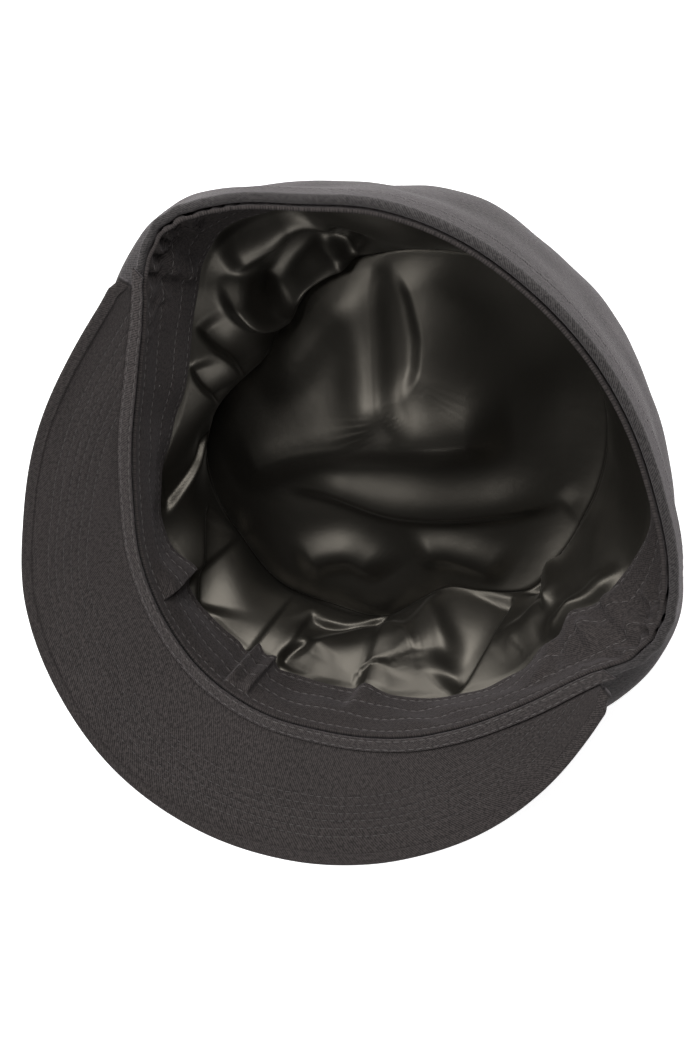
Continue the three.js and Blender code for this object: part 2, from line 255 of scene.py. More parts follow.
def mesh_object(name, points, faces, corners=None):
    """Object at the origin from points in mm and faces of equal length, smooth, with a UV map."""
    mesh = bpy.data.meshes.new(name)
    mesh.from_pydata(points * MM, [], faces.tolist())
    if corners is not None:
        mesh.uv_layers.new(name="cloth").data.foreach_set("uv", corners.reshape(-1))
    mesh.polygons.foreach_set("use_smooth", np.ones(len(mesh.polygons), bool))
    mesh.update()
    piece = bpy.data.objects.new(name, mesh)
    bpy.context.collection.objects.link(piece)
    print(f"{name}: {len(points)} points, {len(faces)} faces")
    return piece


def close_middle(piece):
    """Joins the points that lie on one spot, as those in the middle of a disc do, to a single point."""
    edit = bmesh.new()
    edit.from_mesh(piece.data)
    bmesh.ops.remove_doubles(edit, verts=edit.verts, dist=1e-7)
    edit.to_mesh(piece.data)
    edit.free()


def thicken(piece, wall):
    """Gives an open cloth its thickness in mm, behind the side that is looked at."""
    solid = piece.modifiers.new("thickness", "SOLIDIFY")
    solid.thickness = wall * MM
    solid.offset = -1
    solid.use_even_offset = False


def fit(piece, slot, material, *nodes):
    """Gives a piece its material, lets it ride on the cap and stand for its solids. The slot is not used.
    """
    piece.data.materials.append(material)
    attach(piece, "root")
    if nodes:
        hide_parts(*nodes)


# %% [markdown]
# ## Cotton twill
# Twill shows fine slanting lines where the weft steps over the warp, about every 0.6 mm here. Close up it
# is matt and slightly fuzzy: some threads are paler, and a few specks of lint stick to it. A wave on the
# rolled-out cloth gives the lines and a fine noise the grain, and together they drive a small bump and the
# colour of the threads. The fuzz is sheen on the shader. A picture of cloth would stretch and repeat.


# %% Shader helpers
class Nodes:
    """A material's node tree with short ways to add a node and to join sockets."""

    def __init__(self, name):
        self.material = bpy.data.materials.new(name)
        self.material.use_nodes = True
        self.tree = self.material.node_tree
        self.shader = self.tree.nodes["Principled BSDF"]

    def add(self, kind, inputs=None, **settings):
        node = self.tree.nodes.new("ShaderNode" + kind)
        for key, value in settings.items():
            setattr(node, key, value)
        for key, value in (inputs or {}).items():
            self.put(node.inputs[key], value)
        return node

    def put(self, socket, value):
        if isinstance(value, bpy.types.NodeSocket):
            self.tree.links.new(value, socket)
        else:
            socket.default_value = value

    def math(self, operation, a, b):
        return self.add("Math", {0: a, 1: b}, operation=operation).outputs[0]

    def blend(self, factor, a, b):
        return self.add("Mix", {0: factor, 6: a, 7: b}, data_type="RGBA").outputs[2]

    def band(self, value, low, high, out_low, out_high):
        node = self.add("MapRange", {"Value": value, "From Min": low, "From Max": high,
                                     "To Min": out_low, "To Max": out_high})
        return node.outputs[0]

    def noise(self, vector, scale, detail, roughness=0.5):
        inputs = {"Vector": vector, "Scale": scale, "Detail": detail, "Roughness": roughness}
        return self.add("TexNoise", inputs).outputs["Fac"]

    def wave(self, vector, scale, distortion, detail_scale, direction):
        inputs = {"Vector": vector, "Scale": scale, "Distortion": distortion, "Detail": 2.0,
                  "Detail Scale": detail_scale}
        return self.add("TexWave", inputs, bands_direction=direction).outputs["Fac"]

    def fuzz(self, weight, roughness, tint):
        self.shader.inputs["Sheen Weight"].default_value = weight
        self.shader.inputs["Sheen Roughness"].default_value = roughness
        self.shader.inputs["Sheen Tint"].default_value = colour(*tint)


def colour(*rgb):
    return (*rgb, 1.0)


def scaled(rgb, share):
    return colour(*(channel * share for channel in rgb))


# %% Twill material
def twill(name, rgb, sheen):
    """Matt twill: slanting lines 0.6 mm apart and a thread grain on the UV map, slow fading and specks of
    lint in space."""
    n = Nodes(name)
    flat = n.add("UVMap", uv_map="cloth").outputs["UV"]
    place = n.add("TexCoord").outputs["Object"]
    lines = n.wave(flat, 740.0, 2.2, 1.6, "DIAGONAL")
    grain = n.noise(flat, 1000.0, 3.0, 0.75)
    fade = n.noise(place, 38.0, 4.0, 0.55)
    weave = n.math("ADD", n.math("MULTIPLY", lines, 0.18), n.math("MULTIPLY", grain, 0.82))
    tone = n.blend(n.band(weave, 0.4, 0.6, 0.0, 1.0), scaled(rgb, 0.3), scaled(rgb, 2.0))
    faded = n.blend(n.band(fade, 0.3, 0.7, 0.0, 1.0), scaled(rgb, 0.74), scaled(rgb, 1.3))
    mixed = n.blend(0.25, tone, faded)
    cells = n.add("TexVoronoi", {"Vector": place, "Scale": 90.0}, feature="F1")
    near = n.math("LESS_THAN", cells.outputs["Distance"], 0.021)
    pick = n.math("GREATER_THAN", n.add("SeparateColor", {0: cells.outputs["Color"]}).outputs[0], 0.72)
    lint = n.math("MULTIPLY", near, pick)
    n.put(n.shader.inputs["Base Color"], n.blend(lint, mixed, colour(0.32, 0.31, 0.3)))
    relief = n.add("Bump", {"Strength": 0.9, "Distance": 0.0004, "Height": weave})
    n.put(n.shader.inputs["Normal"], relief.outputs[0])
    n.shader.inputs["Roughness"].default_value = 0.9
    n.shader.inputs["Specular IOR Level"].default_value = 0.25
    n.fuzz(sheen, 0.45, (0.55, 0.5, 0.52))
    return n.material


crown_twill = twill("crown_twill", (0.032, 0.0292, 0.029), sheen=0.26)
band_twill = twill("band_twill", (0.028, 0.0236, 0.0226), sheen=0.12)
# The seam tape is the band's twill with its colour painted lighter: a painted highlight for the light
# caught by its raised edge, and partly the pale of its dense stitches.
tape_twill_painted_highlight = twill("tape_twill_painted_highlight", (0.037, 0.032, 0.031), sheen=0.22)
peak_twill = twill("peak_twill", (0.028, 0.0238, 0.023), sheen=0.2)
print("twills:", crown_twill.name, band_twill.name, tape_twill_painted_highlight.name, peak_twill.name)

# %% [markdown]
# ## Satin lining
# Satin floats its threads over several others, so it is smooth and shines in broad soft bands along its
# folds. The shader has a nearly black base and a strong mirror part of an olive tint. A fine, faint bump
# keeps the shine from looking like plastic.


# %% Satin and thread materials
def satin(name, rgb, tint):
    """Glossy lining cloth: dark base, tinted shine, faint thread bump on the UV map."""
    n = Nodes(name)
    flat = n.add("UVMap", uv_map="cloth").outputs["UV"]
    place = n.add("TexCoord").outputs["Object"]
    threads = n.wave(flat, 1500.0, 3.0, 1.0, "X")
    crinkle = n.noise(place, 160.0, 3.0)
    fade = n.noise(place, 30.0, 2.0)
    n.put(n.shader.inputs["Base Color"],
          n.blend(n.band(fade, 0.3, 0.7, 0.0, 1.0), scaled(rgb, 0.85), scaled(rgb, 1.15)))
    height = n.math("ADD", n.math("MULTIPLY", threads, 0.03), crinkle)
    relief = n.add("Bump", {"Strength": 0.35, "Distance": 0.0003, "Height": height})
    n.put(n.shader.inputs["Normal"], relief.outputs[0])
    n.put(n.shader.inputs["Roughness"], n.band(threads, 0.0, 1.0, 0.42, 0.48))
    n.shader.inputs["Specular IOR Level"].default_value = 0.85
    n.shader.inputs["Specular Tint"].default_value = colour(*tint)
    n.fuzz(0.08, 0.35, (0.5, 0.47, 0.42))
    return n.material


def thread(name, rgb):
    """Sewing thread: plain, slightly glossy, with a grain along its plies."""
    n = Nodes(name)
    place = n.add("TexCoord").outputs["Object"]
    plies = n.noise(place, 2200.0, 2.0)
    n.put(n.shader.inputs["Base Color"], n.blend(plies, scaled(rgb, 0.6), scaled(rgb, 1.4)))
    n.shader.inputs["Roughness"].default_value = 0.6
    return n.material


lining_satin = satin("lining_satin", (0.0021, 0.002, 0.0017), (1.0, 0.92, 0.79))
dark_thread = thread("dark_thread", (0.042, 0.037, 0.036))
pale_thread = thread("pale_thread", (0.078, 0.07, 0.068))
print("satin and threads:", lining_satin.name, dark_thread.name, pale_thread.name)

# %% [markdown]
# ## The crown's side wall
# The side is one band of twill that swells out from the flat oval top to a belly and comes back in to the
# rim, where it is turned in twice as a hem. Its section is a closed loop: up the outside, over the rolled
# rim and down the inside. The elastic pulls it into ribs behind the peak's ends.

# %% Radius of the wall
gathers = [{"middle": -107, "span": 30, "ribs": 6}, {"middle": 108, "span": 30, "ribs": 6}]
gather_depth, gather_reach = 0.5, 30


def gathered(angle, height):
    """Ribs of the gathers: cosine waves under a squared-cosine hump, fading out below the rim."""
    total = 0
    for row in gathers:
        t = turn_to(angle, row["middle"]) / row["span"]
        hump = np.where(np.abs(t) < 0.5, np.cos(np.pi * np.clip(t, -0.5, 0.5)) ** 2, 0)
        total = total + np.cos(2 * np.pi * row["ribs"] * t) * hump
    return gather_depth / 2 * total * smoothstep(height, crown_height - gather_reach, crown_height)


def crown_radius(angle, height):
    """Outer radius of the wall: a quarter sine wave from the top oval out to the belly, then an easing
    in to the rim, which stands upright over the hem's depth. The ribs are added."""
    share = height / crown_height
    top = oval(top_width, top_length, angle)
    belly = along("belly", angle) * oval(belly_width, belly_length, angle)
    rim = along("rim", angle) * oval(rim_width, rim_length, angle)
    below = np.sin(np.pi / 2 * np.clip(share / belly_share, 0, 1))
    above = smoothstep(share, belly_share, hem_foot / crown_height)
    girth = np.where(share < belly_share, top + (belly - top) * below, belly + (rim - belly) * above)
    return girth + gathered(angle, height)


def inside(angle, height, depth):
    """Point a depth inside the wall, square to its slope, which comes from two radii close together."""
    rise = 0.01
    slope = (crown_radius(angle, height + rise) - crown_radius(angle, height - rise)) / (2 * rise)
    length = np.hypot(1, slope)
    return spot(angle, crown_radius(angle, height) - depth / length, height + depth * slope / length)


# %% Wall with its hem
wall_angles = np.arange(-180, 180, 0.5)
rows_up, rows_hem, rows_roll, rows_down = 40, 14, 17, 22
outer_rows_of_roll = 6
roll = hem_wall / 2
turns = np.linspace(0, np.pi, rows_roll)
heights = np.concatenate([
    np.linspace(0, hem_foot - 1, rows_up),
    np.linspace(hem_foot - 0.6, crown_height - roll - 0.6, rows_hem),
    crown_height - roll + roll * np.sin(turns),
    [hem_foot + 2, hem_foot],
    np.linspace(hem_foot - 1, 0, rows_down),
])
depths = np.concatenate([
    np.zeros(rows_up),
    np.full(rows_hem, -hem_step),
    roll - hem_step - roll * np.cos(turns),
    [hem_inner, hem_inner],
    np.full(rows_down, crown_wall),
])
outside = np.arange(len(heights)) < rows_up + rows_hem + outer_rows_of_roll
crease_depth, crease_width = 0.55, 0.7
pucker_depth, pucker_count, pucker_width = 0.12, 190, 2.2
a, h = wall_angles[:, None], heights[None, :]
crease = crease_depth * bell((h - hem_foot) / crease_width) * outside
ripple = pucker_depth * np.sin(np.radians(a) * pucker_count)
puckers = ripple * bell((h - hem_foot) / pucker_width) * outside
limp = 0.55 * round_swell(a, h, 60, 3) + 0.12 * round_swell(a, h, 18, 4)
limp = limp * smoothstep(h, 2, 20) * smoothstep(crown_height - h, 4, 22)
wall_grid = inside(a, h, depths[None, :] + crease + puckers)
wall_grid += spot(a, -limp * outside, 0 * h)
crown_side_cloth = cloth("crown_side_cloth", wall_grid, loop=True)
fit(crown_side_cloth, "crown_twill", crown_twill, "crown_side")

# %% [markdown]
# ## The crown's top panel
# The cap lies on this flat oval of twill. Its grid runs from the middle out over the upper face and back
# in under the lower one, so the points in the middle fall on one spot and are joined there.

# %% Top panel
top_reach = np.linalg.norm(inside(wall_angles, np.zeros(1), crown_wall)[:, :2], axis=-1) - gap
shares = np.concatenate([np.linspace(0, 0.97, 14), [0.99, 1.0]])
panel_wall = 1.4
upper = spot(wall_angles[:, None], top_reach[:, None] * shares[None, :], panel_wall + 0 * shares)
lower = spot(wall_angles[:, None], top_reach[:, None] * shares[None, ::-1], 0.0 * shares)
crown_top_cloth = cloth("crown_top_cloth", np.concatenate([upper, lower], axis=1), flat_uv=True)
close_middle(crown_top_cloth)
fit(crown_top_cloth, "crown_twill", crown_twill, "crown_top")

# %% [markdown]
# ## The sweatband
# A double band of the same twill hangs inside the rim. It is pinched where it has been folded by wear,
# gathered by the elastic, and quilted with four rows of stitches.

# %% Pinches and puffs
pinches = [
    # angle, width before, width after (degrees), depth (mm)
    (-17, 8.0, 0.9, 3.0),
    (5.5, 0.9, 3.0, 2.2),
    (11, 3.0, 0.9, 2.0),
    (33, 1.6, 4.0, 3.2),
    (80, 6, 5, 2.5),
    (93, 5, 4, 4.0),
]
stitch_rows = [band_foot + 2, band_foot + 10, band_foot + 19.5, band_foot + 28]


def pinched(angle):
    """Depth of the pinches: bells whose two sides have widths of their own."""
    total = 0
    for middle, before, after, depth in pinches:
        away = turn_to(angle, middle)
        total = total + depth * bell(away / np.where(away < 0, before, after))
    return total


def band_radius(angle, height):
    """Outer radius of the band: upright behind the hem, then easing over to its foot."""
    at_rim = crown_radius(angle, crown_height) - hem_inner - gap
    at_foot = along("band", angle) * oval(rim_width, rim_length, angle) + band_wall
    ease = 1 - smoothstep(height, band_foot, hem_foot)
    return at_rim + (at_foot - at_rim) * ease - pinched(angle) * ease


# %% [markdown]
# ## Folds
# Loose cloth lies in folds. Each fold is a line of a few points, rounded, with a height and a width on
# either side: a steep side falls into shade, a gentle one catches the light. The same function serves the
# band and the lining.


# %% Folds
def rounded_line(points, count=41):
    """The line through a few points, spaced evenly and then rounded: each point moves to the mean of
    itself and its neighbours, six times over, while both ends stay."""
    points = np.array(points, float)
    run = np.concatenate([[0], np.cumsum(np.hypot(*np.diff(points, axis=0).T))])
    even = np.linspace(0, run[-1], count)
    line = np.stack([np.interp(even, run, points[:, k]) for k in (0, 1)], -1)
    for _ in range(6):
        line[1:-1] = (line[:-2] + line[1:-1] + line[2:]) / 3
    return line


def fold(u, v, points, height, left, right, crest, fade=0.25):
    """Height of a fold at points (u, v) in mm. Its crest follows the rounded line. It falls off as a
    bell curve of distance over width, with a width for either side of the line, and crest is the radius
    that rounds its ridge. The height eases in and out over the share fade of its length."""
    line = rounded_line(points)
    best, side, where = np.full(np.shape(u), np.inf), np.zeros(np.shape(u)), np.zeros(np.shape(u))
    for i in range(len(line) - 1):
        run = line[i + 1] - line[i]
        du, dv = u - line[i, 0], v - line[i, 1]
        t = np.clip((du * run[0] + dv * run[1]) / (run @ run), 0, 1)
        away = np.hypot(du - t * run[0], dv - t * run[1])
        closer = away < best
        best = np.where(closer, away, best)
        side = np.where(closer, (run[0] * dv - run[1] * du) / np.hypot(*run), side)
        where = np.where(closer, (i + t) / (len(line) - 1), where)
    lean = smoothstep(side, -crest, crest)
    width = right + (left - right) * lean
    ends = smoothstep(where, 0, fade) * smoothstep(1 - where, 0, fade)
    return height * ends * bell((np.hypot(best, crest) - crest) / width)


# %% Band
band_folds = [
    # points (mm round the cap, height), height, width on its left and right, crest, fade
    ([(-18.5, 70), (-18, 56), (-17.5, 36)], 3.6, 0.45, 9.0, 0.3, 0.15),
    ([(5.5, 70), (5.5, 56), (5.5, 36)], 2.8, 3.2, 0.45, 0.3, 0.15),
    ([(4.6, 70), (4.6, 56), (4.6, 36)], -1.6, 0.5, 3.0, 0.3, 0.15),
    ([(10.5, 70), (10.5, 56), (10.5, 36)], 2.8, 0.45, 3.2, 0.3, 0.15),
    ([(84, 62), (84, 52), (86, 41)], 2.2, 2.0, 6.0, 0.6, 0.25),
    ([(-102, 66), (-100, 54), (-98, 43)], 4.0, 2.0, 2.6, 1.2, 0.3),
    ([(103, 41), (104, 53), (106, 66)], 4.0, 2.4, 2.4, 1.2, 0.3),
    ([(94, 54), (97, 53), (100, 50)], 3.5, 4.0, 4.0, 2.0, 0.4),
    ([(-112, 68), (-110, 60), (-108, 52)], 2.2, 1.6, 1.6, 0.8, 0.3),
    ([(112, 70), (111, 60), (112, 50)], 2.5, 2.0, 2.0, 1.0, 0.3),
    ([(118, 70), (117, 62), (119, 54)], 2.0, 2.0, 2.0, 1.0, 0.3),
]
band_degree_mm = 1.6
casings = [(-107, 14), (109, 11)]
casing_depth, casing_ribs = 2.3, 96
crease_middles = (-18, 5.5, 10.5)
dimple_depth, dimple_width = 0.3, 0.6


def casing(angle, height):
    """Crumpled elastic casing along the rim behind the peak's ends: uneven puffs a few mm long, under a
    bell round the middle of each casing, with its spread in degrees."""
    uneven = 0.6 + 0.4 * swell(angle * band_degree_mm, height, 9, 14)
    wander = 1.8 * np.sin(height / 2.9) + 2 * swell(angle, height, 14, 15)
    puffs = uneven * np.cos(np.radians(angle) * casing_ribs + wander)
    total = puffs * sum(hill(angle, middle, spread, 1) for middle, spread in casings)
    return total * smoothstep(band_top - height, 0.3, 2.5) * smoothstep(height, band_top - 20, band_top - 8)


def band_face(angle, height):
    """Radius of the band's inner face: the band's own, less slow swells, folds and puffs."""
    limp = 0.45 * round_swell(angle, height, 22, 11) * smoothstep(band_top - height, 1, 9)
    folds = sum(
        fold(angle * band_degree_mm, height, [(p * band_degree_mm, z) for p, z in points], *rest)
        for points, *rest in band_folds
    )
    return band_radius(angle, height) - band_wall - limp - folds - casing_depth * casing(angle, height)


crease_angles = [middle + np.arange(-1.6, 1.6, 0.12) for middle in crease_middles]
band_angles = np.unique(np.round(np.concatenate([np.arange(-180, 180, 0.6), *crease_angles]), 3))
a, h = band_angles[:, None], np.linspace(band_top, band_foot, 72)[None, :]
dimples = sum(dimple_depth * bell((h - row) / dimple_width) for row in stitch_rows)
sweatband_cloth = cloth("sweatband_cloth", spot(a, band_face(a, h) + dimples, h), looks_at=(0, 0, 60))
thicken(sweatband_cloth, band_cloth_wall)
fit(sweatband_cloth, "band_twill", band_twill, "sweatband")

# %% [markdown]
# ## The lining's top panel
# An oval of satin hangs loose over the crown's top and bulges up in its middle. Two ridges run in from
# the back left, two long ones cross it from the front left to the right, one follows the left edge, and
# short folds lie near the peak. On the right it falls off towards the seam, which hangs lower there.


# %% Top panel of the lining
def seam_radius(angle):
    """Radius of the seam between the lining's side and its top panel."""
    return along("seam", angle) * oval(top_width, top_length, angle)


top_folds = [
    # points (x, y) in mm, height, width on its left and right, radius of the crest, fade
    ([(-56, 48), (-49, 41), (-40, 32), (-28, 19), (-18, 8), (-9, 0), (0, -3)], 5.5, 6.0, 11.0, 0.8, 0.22),
    ([(-41, 47), (-27, 42), (-15, 33), (-7, 22), (-6, 8)], 3.2, 15.0, 3.4, 1.0, 0.25),
    ([(-38, -56), (-31, -39), (-22, -24), (-12, -12), (2, 2), (15, 13), (27, 24)],
     5.5, 12.0, 6.5, 1.0, 0.14),
    ([(-22, -44), (-8, -32), (12, -24), (29, -12), (47, 5), (55, 18)], 4.6, 10.0, 2.6, 0.8, 0.25),
    ([(51, 17), (63, 15), (73, 16)], 1.8, 4.5, 2.4, 0.8, 0.35),
    ([(-49, 36), (-48, 19), (-48, 3), (-49, -13), (-51, -26)], 4.5, 9.0, 6.0, 2.0, 0.3),
    ([(3, -67), (6, -56), (12, -48), (20, -46), (27, -48)], 4.2, 7.0, 3.6, 0.7, 0.25),
    ([(30, -35), (36, -26), (46, -22), (59, -20)], 4.4, 7.0, 3.6, 0.7, 0.25),
]
front_rise = 11.0
bulge_height, bulge_width, bulge_middle = 8.0, 40.0, (-4, -4)
right_fall = 5.5
fall_heading, fall_start, fall_end = (0.804, 0.594), 6, 52
lining_limp = 0.4
seam_groove, seam_reach, seam_overlap = 0.9, 70, 1.0
seam_drop = {"middle": 122, "spread": 55, "height": 7.5}


def seam_height(angle):
    """Height of the seam: it hangs lower where the cloth has slid towards the back on the right."""
    return lining_lift - hill(angle, **seam_drop)


def top_height(x, y, share):
    """Height of the top panel: a shallow dish, a bulge, swells and folds that die out at the seam."""
    loose = 1 - share ** 6
    folds = sum(fold(x, y, *row) for row in top_folds)
    towards_peak = front_rise * np.clip(-y / top_length * 2, 0, 1) ** 2
    at_seam = seam_height(np.degrees(np.arctan2(x, -y)))
    sag = lining_lift + (at_seam - lining_lift) * share ** 2 - lining_dip * (1 - share ** 2)
    bulge = bulge_height * bell(np.hypot(x - bulge_middle[0], y - bulge_middle[1]) / bulge_width)
    bulge = bulge - right_fall * smoothstep(fall_heading[0] * x + fall_heading[1] * y, fall_start, fall_end)
    groove = seam_groove * bell((1 - share) * seam_reach / seam_groove)
    return sag - groove + loose * (folds + towards_peak + bulge + lining_limp * swell(x, y, 34, 21))


shares = np.concatenate([[0], np.linspace(0.025, 1.0, 101)])
disc_angles = np.arange(-180, 180, 0.75)
a, s = disc_angles[:, None], shares[None, :]
disc_grid = spot(a, s * (seam_radius(a) + seam_overlap), 0)
x, y = disc_grid[..., 0], disc_grid[..., 1]
disc_grid[..., 2] = top_height(x, y, s)
lining_top_cloth = cloth("lining_top_cloth", disc_grid, looks_at=(0, 0, 400), flat_uv=True)
close_middle(lining_top_cloth)
thicken(lining_top_cloth, lining_cloth_wall)
fit(lining_top_cloth, "lining_satin", lining_satin, "lining_top")

# %% Lining's side panel
side_folds = [
    # points (degrees, share down from the band to the seam), height, widths, crest, fade
    ([(-100, 0.23), (-96, 0.35), (-92, 0.6), (-94, 0.86), (-103, 0.97), (-118, 0.97), (-129, 0.95)],
     5.5, 7.0, 3.0, 1.2, 0.12),
    ([(-126, 0.35), (-117, 0.59), (-106, 0.71), (-98, 0.68)], -6.0, 6.0, 5.0, 1.6, 0.2),
    ([(-101, 0.2), (-108, 0.3), (-116, 0.35), (-126, 0.34)], 3.5, 6.0, 3.0, 1.2, 0.25),
    ([(-134, 0.38), (-129, 0.62), (-124, 0.82)], -5.0, 4.0, 4.0, 1.2, 0.3),
    ([(-86, 0.08), (-82, 0.29), (-79, 0.5), (-71, 0.79)], -3.0, 9.0, 1.2, 0.4, 0.2),
    ([(-76, 0.06), (-69, 0.27), (-61, 0.62)], -3.0, 8.0, 1.2, 0.4, 0.25),
    ([(-50, 0.83), (-43, 0.65), (-38, 0.36), (-33, 0.07)], -3.4, 1.2, 10.0, 0.4, 0.2),
    ([(-28, 0.77), (-22, 0.51), (-14, 0.24), (-8, 0.0)], -3.4, 10.0, 1.2, 0.4, 0.15),
    ([(10, 0.76), (15, 0.66), (22, 0.7), (28, 0.85), (33, 1.0)], -3.2, 1.4, 7.0, 0.5, 0.2),
    ([(12, 0.04), (13, 0.21), (16, 0.45)], -3.2, 1.4, 8.0, 0.5, 0.3),
    ([(14, 0.01), (19, 0.47), (28, 0.76), (39, 0.62), (44, 0.37), (43, 0.17)], 4.5, 3.0, 12.0, 1.2, 0.2),
    ([(53, 0.04), (58, 0.23), (64, 0.5), (68, 0.77), (70, 0.98)], -5.0, 10.0, 1.4, 0.4, 0.15),
    ([(42, 0.94), (48, 0.68), (52, 0.45), (51, 0.22)], 4.0, 4.0, 8.0, 1.2, 0.25),
    ([(74, 0.88), (78, 1.0), (88, 0.78)], -4.5, 3.5, 3.5, 1.2, 0.3),
    ([(86, 1.0), (88, 0.78), (89, 0.44), (84, 0.4)], 4.0, 3.0, 5.0, 1.0, 0.2),
    ([(80, 0.14), (92, 0.05), (101, 0.12), (110, 0.05)], 3.0, 3.0, 6.0, 1.0, 0.25),
    ([(66, 0.29), (72, 0.44), (82, 0.41), (94, 0.13)], 3.0, 4.0, 6.0, 1.2, 0.25),
]
degree_mm = 1.25
panel_length = 36
panel_bulge = 3.5
left_bulge = {"middle": -58, "spread": 28, "height": 3.5}
tuck_share, foot_inset = 0.2, 0.2


def side_panel(angle, down):
    """Point on the side panel: a straight line from behind the band's foot to the seam, pushed along its
    own normal by the folds, which are read on the cloth laid flat in mm. Above the band's foot, where down
    is below 0, the cloth is tucked up behind the band."""
    start = band_radius(angle, band_foot) - foot_inset + loose_gap
    run = seam_radius(angle) - start
    panel_drop = band_foot - seam_height(angle)
    length = np.hypot(run, panel_drop)
    share = np.clip(down, 0, 1)
    u, v = angle * degree_mm, down * panel_length
    folds = sum(
        fold(u, v, [(p * degree_mm, d * panel_length) for p, d in points], *rest)
        for points, *rest in side_folds
    )
    loose = smoothstep(share, 0, 0.1) * smoothstep(1 - share, -0.02, 0.08)
    bulge = panel_bulge + hill(angle, **left_bulge)
    limp = lining_limp * round_swell(angle, down * 30, 34, 31)
    push = loose * (folds + limp + bulge * np.sin(np.pi * share))
    tuck_height = band_foot - np.clip(down, -1, 0) * lining_tuck / tuck_share
    radius = np.where(down < 0, band_radius(angle, tuck_height) + loose_gap, start + run * share)
    height = np.where(down < 0, tuck_height, band_foot - panel_drop * share)
    return spot(angle, radius - push * panel_drop / length, height - push * run / length)


a, d = np.arange(-180, 180, 0.6)[:, None], np.linspace(-tuck_share, 1.0, 80)[None, :]
lining_side_cloth = cloth("lining_side_cloth", side_panel(a, d), looks_at=(0, 0, 60))
thicken(lining_side_cloth, lining_cloth_wall)
fit(lining_side_cloth, "lining_satin", lining_satin, "lining_side")

# %% [markdown]
# ## The peak
# Two layers of twill cover a stiff crescent that leaves the rim and climbs outwards. Six rows of stitches
# run round it, and a narrow border is sewn over its edge. The peak ends under the border. A narrow tape
# covers the seam at which peak, crown and sweatband meet.


# %% Peak and border
peak_rows = [9.5, 12.1, 14.7, 17.2, 19.8, 22.6]
peak_tip = 6.0
tuck_under, tuck_drop = 1.0, 0.8
peak_shrink, groove_depth, groove_width = 0.2, 0.16, 0.45


def root_radius(angle):
    """Radius at which the peak leaves the hem."""
    return crown_radius(angle, crown_height) + hem_step + gap


def peak_point(angle, out, up):
    """Point on the peak: out along its slope from the root, and up from its outer face."""
    radius = root_radius(angle) + out * np.cos(peak_slope)
    return spot(angle, radius, crown_height - peak_wall + out * np.sin(peak_slope) + up)


def peak_reach(angle):
    """Depth of the peak along its slope at an angle. Its last few degrees are rounded to a tip."""
    full = peak_depth * along("peak", angle)
    return peak_tip + (full - peak_tip) * smoothstep(peak_end - np.abs(angle), -0.5, 3)


def peak_lift(angle, out):
    """Height of the peak's upper face: its wall, less the grooves of the stitch rows, with slow swells.
    Under the border it drops, so that the border covers it."""
    inset = peak_reach(angle) - out
    tuck = tuck_drop * smoothstep(binding_width - inset, -0.2, 0.5)
    grooves = sum(groove_depth * bell((inset - row) / groove_width) for row in peak_rows)
    limp = 0.16 * swell(out + 40, angle * 1.4, 12, 41) + 0.35 * swell(out, angle * 1.4, 50, 42)
    return peak_wall - peak_shrink - grooves - tuck + limp * smoothstep(out, 0, 4)


peak_angles = np.linspace(-peak_end, peak_end, 520)
a = peak_angles[:, None]
t = np.linspace(0, 1, 90)[None, :]
out = t * (peak_reach(a) - binding_width + tuck_under)
over = peak_point(a, out, peak_lift(a, out))
under = peak_point(a, out, 0 * out)
peak_grid = np.concatenate([under, over[:, ::-1]], axis=1)
peak_cloth = cloth("peak_cloth", peak_grid, ring=False, loop=True)
fit(peak_cloth, "peak_twill", peak_twill, "peak")

edge_turns = np.linspace(-np.pi / 2, np.pi / 2, 14)
half, flat_rows = peak_wall / 2 + binding_step, 7
border_out = np.concatenate([
    np.linspace(-binding_width, -half, flat_rows + 1)[:-1],
    -half + half * np.cos(edge_turns),
    np.linspace(-half, -binding_width, flat_rows + 1)[1:],
])
border_up = np.concatenate([
    np.full(flat_rows, -binding_step),
    peak_wall / 2 + half * np.sin(edge_turns),
    np.full(flat_rows, peak_wall + binding_step),
])
border_grid = peak_point(a, peak_reach(a) + border_out[None, :], border_up[None, :])
peak_border = cloth("peak_border", border_grid, ring=False, loop=True)
fit(peak_border, "peak_twill", peak_twill, "peak_binding")

# %% Seam tape
tape_rows = (0.16, 0.84)
tape_dimple, tape_dimple_share, tape_rounding = 0.22, 0.07, 0.25
tape_angles = np.linspace(-tape_end, tape_end, 520)
a, across = tape_angles[:, None], np.linspace(0, 1, 21)[None, :]
tape_radius = root_radius(a) - tape_width * (1 - across)
rounded = tape_wall - tape_rounding * (2 * across - 1) ** 4
dimples = tape_dimple * sum(bell((across - row) / tape_dimple_share) for row in tape_rows)
top_face = spot(a, tape_radius, crown_height + gap + rounded - dimples)
foot_face = spot(a, tape_radius, crown_height + gap + 0 * across)
tape_grid = np.concatenate([foot_face, top_face[:, ::-1]], axis=1)
seam_tape_cloth = cloth("seam_tape_cloth", tape_grid, ring=False, loop=True)
fit(seam_tape_cloth, "band_twill", tape_twill_painted_highlight, "seam_tape")

# %% [markdown]
# ## Stitches
# Each stitch is a short bowed thread whose ends dip into the cloth. One function makes them along any row
# of points, all as one mesh with 28 faces a stitch.


